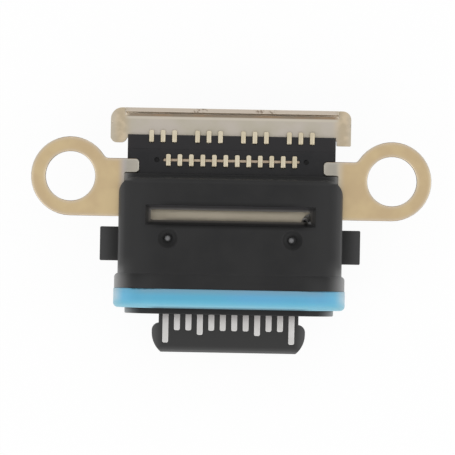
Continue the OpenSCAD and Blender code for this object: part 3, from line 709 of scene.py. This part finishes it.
tree, shader, place = new_finish("core_plastic", specular=0.3)
point = place.outputs["Object"]
axes = axes_of(tree, point)
along = axes["Y"]
off_middle = add_math(tree, "ABSOLUTE", axes["X"])
flow = add_noise(tree, point, scale=1500, detail=2.0)
tone = add_patches(tree, flow, CORE_DARK, CORE_PALE, FLOW_MARKS)
tone = add_mix(tree, add_rise(tree, along, DECK_ALONG, share=0.7), tone, DECK_TONE)
tongue = add_fall(tree, along, TONGUE_ALONG)
tone = add_mix(tree, tongue, tone, TONGUE_TONE)
# Painted highlight along the tongue's sides and tip.
tongue_side = add_rise(tree, off_middle, TONGUE_SIDE)
tongue_tip = add_fall(tree, along, TONGUE_TIP)
lit_tongue_edges = add_product(tree, tongue, add_math(tree, "MAXIMUM", tongue_side, tongue_tip))
tone = add_mix(tree, lit_tongue_edges, tone, TONGUE_EDGE_HIGHLIGHT)
tree.links.new(tone, shader.inputs["Base Color"])
add_grain(
    tree, shader, point,
    scale=22000, roughness=0.36, spread=0.12, depth=0.003, strength=0.35, soft_edge=0.03,
)
print("insulators: finished with", len(tree.nodes), "nodes")


# %% [markdown]
# ## Blue silicone
#
# The seal is a soft ring with a waxy skin. Light goes a fraction of a millimetre into silicone and comes out
# beside where it entered, so a little subsurface scattering softens its shade. Its blue drifts towards teal
# in places, and a painted sheen makes it paler at the ends. From front to rear it has a painted shade at the
# tip under the nose, a pale bloom and a bright crown that are painted highlights, and it turns greyer at the
# flange. These follow the length of the port, and the tip and the grey also fade towards the ends. From here
# on tones are given as display colours, which are easier to read than light values.


# %% Helper for display colours
def linear(red, green, blue):
    """A display colour, 0 to 255, as the light values that a shader takes."""
    def one(value):
        value /= 255
        return value / 12.92 if value <= 0.04045 else ((value + 0.055) / 1.055) ** 2.4
    return (one(red), one(green), one(blue))


# %% Seal: blue, with a painted sheen towards the ends
SEAL_TEAL = linear(88, 170, 200)
SEAL_BLUE = linear(94, 168, 207)
SEAL_SHEEN_FROM = (3.9, 4.7)
SEAL_SHEEN_TONE = linear(106, 185, 220)
SEAL_END_SHEEN_FROM = (4.55, 5.05)
SEAL_END_SHEEN_TONE = linear(172, 203, 216)

tree, shader, place = new_finish("seal_silicone", specular=0.4)
point = place.outputs["Object"]
axes = axes_of(tree, point)
along = axes["Y"]
off_middle = add_math(tree, "ABSOLUTE", axes["X"])
tone = add_patches(tree, add_noise(tree, point, scale=260, detail=1.0), SEAL_TEAL, SEAL_BLUE)
# Painted sheen towards the ends, where the seal's curves turn away.
tone = add_mix(tree, add_rise(tree, off_middle, SEAL_SHEEN_FROM, share=0.9), tone, SEAL_SHEEN_TONE)
tone = add_mix(tree, add_rise(tree, off_middle, SEAL_END_SHEEN_FROM), tone, SEAL_END_SHEEN_TONE)
print("seal: pale ends begin", SEAL_END_SHEEN_FROM[0], "mm off the middle")

# %% Seal: painted highlights of crown and bloom, painted shade at the tip, grey at the flange
SEAL_FRONT = -5.68
SEAL_REAR = -4.83
CROWN_ALONG = (SEAL_FRONT + 0.2, SEAL_FRONT + 0.45)
CROWN_HIGHLIGHT = linear(108, 190, 216)
BLOOM_ALONG = (SEAL_FRONT + 0.05, SEAL_FRONT + 0.3)
BLOOM_HIGHLIGHT = linear(132, 188, 205)
TIP_ALONG = (SEAL_FRONT, SEAL_FRONT + 0.12)
TIP_WITHIN = (3.0, 3.8)
TIP_TONE = linear(70, 98, 112)
SEAL_GREYER_ALONG = (SEAL_REAR - 0.36, SEAL_REAR - 0.03)
SEAL_GREYER_WITHIN = (3.6, 4.4)
SEAL_GREYER_TONE = linear(118, 150, 167)

# Painted highlights: the crown and the bloom.
tone = add_mix(tree, add_fall(tree, along, CROWN_ALONG, share=0.6), tone, CROWN_HIGHLIGHT)
tone = add_mix(tree, add_fall(tree, along, BLOOM_ALONG, share=0.85), tone, BLOOM_HIGHLIGHT)
# Painted shade at the tip, under the nose.
seal_tip = add_fall(tree, along, TIP_ALONG, share=0.8)
seal_tip = add_product(tree, seal_tip, add_fall(tree, off_middle, TIP_WITHIN))
tone = add_mix(tree, seal_tip, tone, TIP_TONE)
# Greyer next to the flange.
seal_greyer = add_rise(tree, along, SEAL_GREYER_ALONG, share=0.7)
seal_greyer = add_product(tree, seal_greyer, add_fall(tree, off_middle, SEAL_GREYER_WITHIN, rest=0.3))
tone = add_mix(tree, seal_greyer, tone, SEAL_GREYER_TONE)
tree.links.new(tone, shader.inputs["Base Color"])
print("seal: from", SEAL_FRONT, "to", SEAL_REAR, "mm")

# %% Seal: soft, waxy skin
SCATTER_SHARE = 0.12
SCATTER_COLOURS = (0.4, 0.7, 1.0)
SCATTER_DEPTH = 0.25 * MM

shader.inputs["Subsurface Weight"].default_value = SCATTER_SHARE
shader.inputs["Subsurface Radius"].default_value = SCATTER_COLOURS
shader.inputs["Subsurface Scale"].default_value = SCATTER_DEPTH
add_grain(tree, shader, point, scale=9000, roughness=0.4, spread=0.1, depth=0.003, strength=0.3)
print("seal: finished with", len(tree.nodes), "nodes")

# %% [markdown]
# ## Bracket
#
# The bracket is a stamped sheet, gold on the ears and tin from the flanks of the housing inwards. A plated
# sheet is a metal shader with a satin roughness; what makes it read as real is that it differs from place to
# place. Its rims get a painted highlight in a band about a quarter of a millimetre wide. The Bevel node
# finds
# that band: it turns the normal near an edge, and how far it turns is the mask. Rims that face the front or
# the rear get a darker one. Edges that the punch rolled over get a painted highlight as well, and the cut
# sides below them are brown.

# %% Bracket: gold and tin
GOLD_DULL = linear(189, 167, 132)
GOLD_BRIGHT = linear(197, 176, 138)
TIN_DULL = linear(162, 157, 147)
TIN_BRIGHT = linear(174, 168, 156)
LEFT_TIN_ACROSS = (-4.75, -4.5)
LEFT_TIN = linear(176, 170, 171)
RIGHT_TIN_ACROSS = (4.5, 4.75)
RIGHT_TIN = linear(202, 190, 170)

tree, shader, place = new_finish("bracket_gold", metallic=1.0)
point = place.outputs["Object"]
axes = axes_of(tree, point)
across = axes["X"]
along = axes["Y"]
off_middle = add_math(tree, "ABSOLUTE", across)
patch = add_noise(tree, point, scale=900, detail=2.0)
gold = add_patches(tree, patch, GOLD_DULL, GOLD_BRIGHT)
tin = add_patches(tree, patch, TIN_DULL, TIN_BRIGHT)
tin = add_mix(tree, add_fall(tree, across, LEFT_TIN_ACROSS, share=0.7), tin, LEFT_TIN)
tin = add_mix(tree, add_rise(tree, across, RIGHT_TIN_ACROSS, share=0.7), tin, RIGHT_TIN)
print("bracket: gold and tin mixed")

# %% Bracket: painted highlights on the rims
RIM_WIDTH = 0.28
RIM_SAMPLES = 8
RIM_TURN = (0.88, 1.0)
RIM_SHARE = 0.95
FRONT_OR_REAR = (0.04, 0.25)
SIDE_RIM_HIGHLIGHT = linear(213, 199, 173)
FRONT_RIM_HIGHLIGHT = linear(194, 180, 161)
TIN_RIM_HIGHLIGHT = linear(172, 168, 158)

rounded = tree.nodes.new("ShaderNodeBevel")
rounded.samples = RIM_SAMPLES
rounded.inputs["Radius"].default_value = RIM_WIDTH * MM
surface = tree.nodes.new("ShaderNodeNewGeometry")
agreement = tree.nodes.new("ShaderNodeVectorMath")
agreement.operation = "DOT_PRODUCT"
tree.links.new(rounded.outputs["Normal"], agreement.inputs[0])
tree.links.new(surface.outputs["Normal"], agreement.inputs[1])
rim_highlight = add_range(tree, agreement.outputs["Value"], *RIM_TURN, RIM_SHARE, 0.0, smooth=False)
rim_facing = axes_of(tree, rounded.outputs["Normal"])
front_or_rear = add_range(tree, add_math(tree, "ABSOLUTE", rim_facing["Y"]), *FRONT_OR_REAR)
# Painted highlight on the rims, darker where they face the front or the rear.
gold = add_mix(tree, rim_highlight, gold, add_mix(tree, front_or_rear, SIDE_RIM_HIGHLIGHT, FRONT_RIM_HIGHLIGHT))
tin = add_mix(tree, rim_highlight, tin, TIN_RIM_HIGHLIGHT)
print("bracket: rims", RIM_WIDTH, "mm wide")

# %% [markdown]
# ### Its middle in the window
#
# Between the flanks only a slot of the bracket shows. It is duller than the ears, and paler, partly as
# painted light against the shade of the deep slot. Painted shade lies along the slot's sides, except at the
# front of its left end, which is painted lighter. The border between gold and tin is ragged, so the noise
# that makes the patches also shifts it.

# %% Bracket: border of the gold, and the middle
TIN_EDGE = 4.62
GOLD_EDGE = 5.05
RAGGED = 0.1
MIDDLE_WITHIN = (3.6, 3.9)
MIDDLE_LIT_TONE = linear(204, 195, 177)

ragged_place = add_math(tree, "MULTIPLY_ADD", patch, RAGGED * MM, off_middle)
gold_part = add_rise(tree, ragged_place, (TIN_EDGE, GOLD_EDGE))
plating = add_mix(tree, gold_part, tin, gold)
middle = add_fall(tree, off_middle, MIDDLE_WITHIN)
# The paler tone here is partly painted light against the shade of the deep window.
plating = add_mix(tree, middle, plating, MIDDLE_LIT_TONE)
print("bracket: gold beyond", GOLD_EDGE, "mm off the middle")

# %% Bracket: painted shade in the window, painted highlight on rolled edges, and cut side
WINDOW_SHADE_WITHIN = (2.2, 3.3)
WINDOW_SHADE_OFF_LINE = (0.05, 0.38)
WINDOW_SHADE_TONE = linear(62, 54, 46)
LIT_CORNER_FRONT = (WINDOW_LINE - 0.1, WINDOW_LINE)
LIT_CORNER_LEFT = (-3.2, -2.6)
TIN_ROLLED_HIGHLIGHT = linear(180, 175, 165)
GOLD_ROLLED_HIGHLIGHT = linear(205, 196, 182)
CUT_TONE = linear(120, 96, 70)

# Painted shade along the window's sides; the front of its left end is painted lighter.
window_shade = add_product(tree, middle, add_fall(tree, off_middle, WINDOW_SHADE_WITHIN, rest=0.45))
window_shade = add_product(tree, window_shade, add_rise(tree, add_distance(tree, along, WINDOW_LINE), WINDOW_SHADE_OFF_LINE))
lit_corner = add_product(tree, add_fall(tree, along, LIT_CORNER_FRONT), add_fall(tree, across, LIT_CORNER_LEFT))
window_shade = add_product(tree, window_shade, add_rest(tree, lit_corner))
plating = add_mix(tree, window_shade, plating, WINDOW_SHADE_TONE)
edge_masks = add_edge(tree, place)
# Painted highlight on the rolled edges; the cut sides below them are brown.
sheet = add_mix(tree, edge_masks["Rolled"], plating, add_mix(tree, gold_part, TIN_ROLLED_HIGHLIGHT, GOLD_ROLLED_HIGHLIGHT))
sheet = add_mix(tree, edge_masks["Cut"], sheet, CUT_TONE)
tree.links.new(sheet, shader.inputs["Base Color"])
add_grain(
    tree, shader, point,
    scale=12000, roughness=0.34, spread=0.16, depth=0.002, strength=0.3, dull=middle,
)
print("bracket: finished with", len(tree.nodes), "nodes")

# %% [markdown]
# ## Rear strip
#
# The strip behind the solder rows is plated steel, folded up at the rear into a lip, with a flat arm at
# each end. The arms are warmer and mottled. Along the fold run a painted highlight on the crease and
# painted shade in the groove, then the wall with painted light and the top of the lip, which has a few
# scuffs. The fold is straight, so its layers are stripes. The scuffs are spots, broken up by a fine noise.

# %% Strip: steel and mottled arms
STEEL_DULL = linear(178, 171, 156)
STEEL_BRIGHT = linear(184, 176, 166)
ARM_DULL = linear(180, 165, 140)
ARM_BRIGHT = linear(199, 182, 155)
ARM_EDGE = (4.9, 5.3)
ARM_EDGE_TONE = linear(186, 178, 163)
LIP_END = 4.6
ARM_FROM = (LIP_END - 0.3, LIP_END + 0.2)

tree, shader, place = new_finish("shield_steel", metallic=1.0)
point = place.outputs["Object"]
axes = axes_of(tree, point)
along = axes["Y"]
off_middle = add_math(tree, "ABSOLUTE", axes["X"])
patch = add_noise(tree, point, scale=800, detail=3.0)
steel = add_patches(tree, patch, STEEL_DULL, STEEL_BRIGHT)
arm = add_patches(tree, add_noise(tree, point, scale=2600, detail=2.0), ARM_DULL, ARM_BRIGHT)
arm = add_mix(tree, add_rise(tree, off_middle, ARM_EDGE, share=0.8), arm, ARM_EDGE_TONE)
steel = add_mix(tree, add_rise(tree, off_middle, ARM_FROM, share=0.9), steel, arm)
print("strip: lip ends", LIP_END, "mm off the middle")

# %% Strip: painted highlight on the crease, the lip, painted shade in the groove, painted light on the wall
LIP_WITHIN = (LIP_END - 0.2, LIP_END + 0.12)
CREASE_ALONG = (2.575, 2.62)
CREASE_HIGHLIGHT = linear(193, 185, 171)
LIP_ALONG = (2.77, 2.82)
LIP_TONE = linear(191, 180, 166)
GROOVE_ALONG = (2.69, 2.76)
GROOVE_SHADE_GREY = linear(134, 122, 107)
GROOVE_SHADE_BROWN = linear(148, 126, 102)
GROOVE_SHADE_PATCHES = (0.4, 0.7)
LIP_WALL_ALONG = (2.8, 2.85)
LIP_WALL_LIGHT = linear(216, 205, 190)

between_arms = add_fall(tree, off_middle, LIP_WITHIN)
# Painted highlight on the crease.
crease = add_product(tree, add_stripe(tree, along, CREASE_ALONG, soft=0.05), between_arms)
steel = add_mix(tree, crease, steel, CREASE_HIGHLIGHT)
lip = add_product(tree, add_rise(tree, along, LIP_ALONG), between_arms)
steel = add_mix(tree, lip, steel, LIP_TONE)
# Painted shade in the groove, brownish in patches.
groove = add_product(tree, add_stripe(tree, along, GROOVE_ALONG, soft=0.05), between_arms)
steel = add_mix(tree, groove, steel, add_patches(tree, patch, GROOVE_SHADE_GREY, GROOVE_SHADE_BROWN, GROOVE_SHADE_PATCHES))
# Painted light on the lip's inner wall.
lit_lip_wall = add_product(tree, add_stripe(tree, along, LIP_WALL_ALONG, soft=0.02), between_arms)
steel = add_mix(tree, lit_lip_wall, steel, LIP_WALL_LIGHT)
print("strip: groove at", GROOVE_ALONG, "mm")

# %% Strip: scuffs on the lip
SCUFFS = ((-1.55, 2.95, 0.14), (-1.25, 2.93, 0.14), (1.2, 2.94, 0.14), (1.75, 2.95, 0.14))
SCUFF_RADII = (0.08, 0.24)
SCUFF_TONE = linear(140, 126, 112)
SCRATCHES = (0.45, 0.6)

scratch = add_range(tree, add_noise(tree, point, scale=9000, detail=2.0), *SCRATCHES)
for scuff in SCUFFS:
    scuffed = add_product(tree, add_spot(tree, point, scuff, SCUFF_RADII), scratch)
    steel = add_mix(tree, scuffed, steel, SCUFF_TONE)
tree.links.new(steel, shader.inputs["Base Color"])
add_grain(
    tree, shader, point,
    scale=11000, roughness=0.32, spread=0.16, depth=0.002, strength=0.3, dull=groove,
)
print("strip: scuffs", len(SCUFFS), "finished with", len(tree.nodes), "nodes")

# %% [markdown]
# ## Contacts and inner plates
#
# Each contact is one strip from blade to tail with two platings: gold on the tails, and pale on the blades,
# which get a painted shade at their roots inside the mouth. One material does for all 24, because the change
# follows the part's own length. The plates inside share one plain finish in two colours, so a loop makes
# both.

# %% Contacts: gold tails, pale blades
TAIL_DULL = linear(194, 183, 159)
TAIL_BRIGHT = linear(202, 192, 170)
BLADE_DULL = linear(200, 198, 196)
BLADE_BRIGHT = linear(207, 205, 204)
ROOT_ALONG = (-5.9, -5.0)
ROOT_SHADE = linear(178, 175, 173)
PLATING_LINE = -1.5
PLATING_BORDER = (PLATING_LINE, PLATING_LINE + 0.3)

tree, shader, place = new_finish("contact_plating", metallic=1.0)
point = place.outputs["Object"]
along = axes_of(tree, point)["Y"]
patch = add_noise(tree, point, scale=1500, detail=1.0)
tail = add_patches(tree, patch, TAIL_DULL, TAIL_BRIGHT)
blade = add_patches(tree, patch, BLADE_DULL, BLADE_BRIGHT)
# Painted shade on the blades' roots inside the mouth.
blade = add_mix(tree, add_stripe(tree, along, ROOT_ALONG, soft=0.5), blade, ROOT_SHADE)
plated = add_mix(tree, add_rise(tree, along, PLATING_BORDER), blade, tail)
tree.links.new(plated, shader.inputs["Base Color"])
add_grain(tree, shader, point, scale=20000, roughness=0.4, spread=0.1, depth=0.001, strength=0.2)
print("contacts: gold behind", PLATING_LINE, "mm")

# %% Mid plate and ground plates
PLATES = {
    "mid_plate_metal": (linear(166, 149, 130), linear(180, 165, 146)),
    "ground_metal": (linear(186, 184, 178), linear(200, 199, 194)),
}
for name, plate_tones in PLATES.items():
    tree, shader, place = new_finish(name, metallic=1.0)
    point = place.outputs["Object"]
    patch = add_noise(tree, point, scale=1800, detail=2.0)
    tree.links.new(add_patches(tree, patch, *plate_tones), shader.inputs["Base Color"])
    add_grain(tree, shader, point, scale=16000, roughness=0.34, spread=0.14, depth=0.002, strength=0.3)
print("plates:", len(PLATES), "finishes")

# %% Give every solid its finish
for node, solid in frame["nodes"].items():
    for slot in solid.material_slots:
        slot.material = finishes[slot_of[node]]
print("finishes", sorted(finishes))


# %% [markdown]
# ## Sheet metal with rolled edges
#
# A stamped edge is never sharp: the punch rolls it over by a few hundredths of a millimetre, and that narrow
# band catches the light. The solids have square edges, so each metal piece that shows is copied, its loose
# triangles are welded and its flat faces made whole, and a Bevel modifier rounds what is still sharp.
# Weighted normals keep the flat faces flat. One contact's solid has uneven facets at a bend, which the bevel
# would show, so its like neighbour is copied for it and moved by one pitch.

# %% Helper: a clean copy of a solid
WELD = 0.0005 * MM
FLAT = math.radians(1.5)


def clean_copy(node, pattern=None, shift=0.0):
    """A welded copy of a node with whole faces. A like node, the pattern, can be copied and moved."""
    source = frame["nodes"][pattern or node]
    bpy.ops.object.select_all(action="DESELECT")
    source.select_set(True)
    bpy.context.view_layer.objects.active = source
    bpy.ops.object.duplicate()
    piece = bpy.context.active_object
    piece.name = node + "_finished"
    # The copy is a piece of its own, so it drops the mark of a CAD node.
    del piece["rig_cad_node"]
    bpy.ops.object.mode_set(mode="EDIT")
    bpy.ops.mesh.select_all(action="SELECT")
    if shift:
        bpy.ops.transform.translate(value=(shift, 0, 0))
    bpy.ops.mesh.customdata_custom_splitnormals_clear()
    bpy.ops.mesh.remove_doubles(threshold=WELD)
    bpy.ops.mesh.dissolve_limited(angle_limit=FLAT)
    bpy.ops.object.mode_set(mode="OBJECT")
    return piece


# %% Helper: rolled edges, and the node that the piece stands in for
SHARP = math.radians(30)
SMOOTH = math.radians(60)


def roll_edges(piece, node, edge, segments):
    """Rounds a copy's sharp edges and stands it in the node's place."""
    bevel = piece.modifiers.new("rolled_edge", "BEVEL")
    bevel.width = edge * MM
    bevel.segments = segments
    bevel.limit_method = "ANGLE"
    bevel.angle_limit = SHARP
    bevel.use_clamp_overlap = False
    bpy.ops.object.modifier_apply(modifier=bevel.name)
    bpy.ops.object.shade_smooth_by_angle(angle=SMOOTH)
    even = piece.modifiers.new("even_faces", "WEIGHTED_NORMAL")
    even.keep_sharp = True
    bpy.ops.object.modifier_apply(modifier=even.name)
    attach(piece, "root")
    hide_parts(node)


# %% Bracket, strip and mid plate
SHEET_EDGES = {"mounting_bracket": 0.06, "rear_shield": 0.015, "mid_plate": 0.02}
SHEET_SEGMENTS = 3

for node, edge_width in SHEET_EDGES.items():
    piece = clean_copy(node)
    roll_edges(piece, node, edge_width, SHEET_SEGMENTS)
    print(piece.name, len(piece.data.polygons), "faces")

# %% Contacts
CONTACT_EDGE = 0.03
CONTACT_SEGMENTS = 2
PITCH = 0.5 * MM
UNEVEN = "upper_contact_7"
EVEN = "upper_contact_8"

contacts = [node for node in sorted(slot_of) if slot_of[node] == "contact_plating"]
for node in contacts:
    if node == UNEVEN:
        piece = clean_copy(node, pattern=EVEN, shift=-PITCH)
    else:
        piece = clean_copy(node)
    roll_edges(piece, node, CONTACT_EDGE, CONTACT_SEGMENTS)
print("contacts", len(contacts))

# %% [markdown]
# ## Rim of the pin mark
#
# The core pin's round mark at the window's right end has a thin raised rim. A torus gives the ring. Only its
# upper part can show, so its underside is cut off with the bisect tool, which also closes the cut, and the
# foot that is left sits a little way in the flash.

# %% Pin mark rim
PIN_MARK = Vector((3.305, -1.845, 0.46))
RIM_FOOT = Vector((0, 0, 0.015))
RIM_RADIUS = 0.165 * MM
RIM_BEAD = 0.03 * MM
RIM_SEGMENTS = 40
BEAD_SEGMENTS = 10

bpy.ops.object.select_all(action="DESELECT")
bpy.ops.mesh.primitive_torus_add(
    location=PIN_MARK * MM, major_radius=RIM_RADIUS, minor_radius=RIM_BEAD,
    major_segments=RIM_SEGMENTS, minor_segments=BEAD_SEGMENTS,
)
pin_rim = bpy.context.active_object
pin_rim.name = "pin_mark_rim"
bpy.ops.object.transform_apply(location=True, rotation=True, scale=True)
bpy.ops.object.mode_set(mode="EDIT")
bpy.ops.mesh.select_all(action="SELECT")
foot = (PIN_MARK - RIM_FOOT) * MM
bpy.ops.mesh.bisect(plane_co=foot, plane_no=(0, 0, 1), use_fill=True, clear_inner=True, threshold=WELD)
bpy.ops.object.mode_set(mode="OBJECT")
bpy.ops.object.shade_smooth_by_angle(angle=SMOOTH)
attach(pin_rim, "root")
pin_rim.data.materials.append(finishes["housing_plastic"])
print(pin_rim.name, len(pin_rim.data.polygons), "faces")

# %% [markdown]
# ## View transform
#
# The finish must not change how large the part is; the box of the solids is taken and printed at the start.
# This last cell sets the view transform to Standard.

# %% View transform
bpy.context.scene.view_settings.view_transform = "Standard"
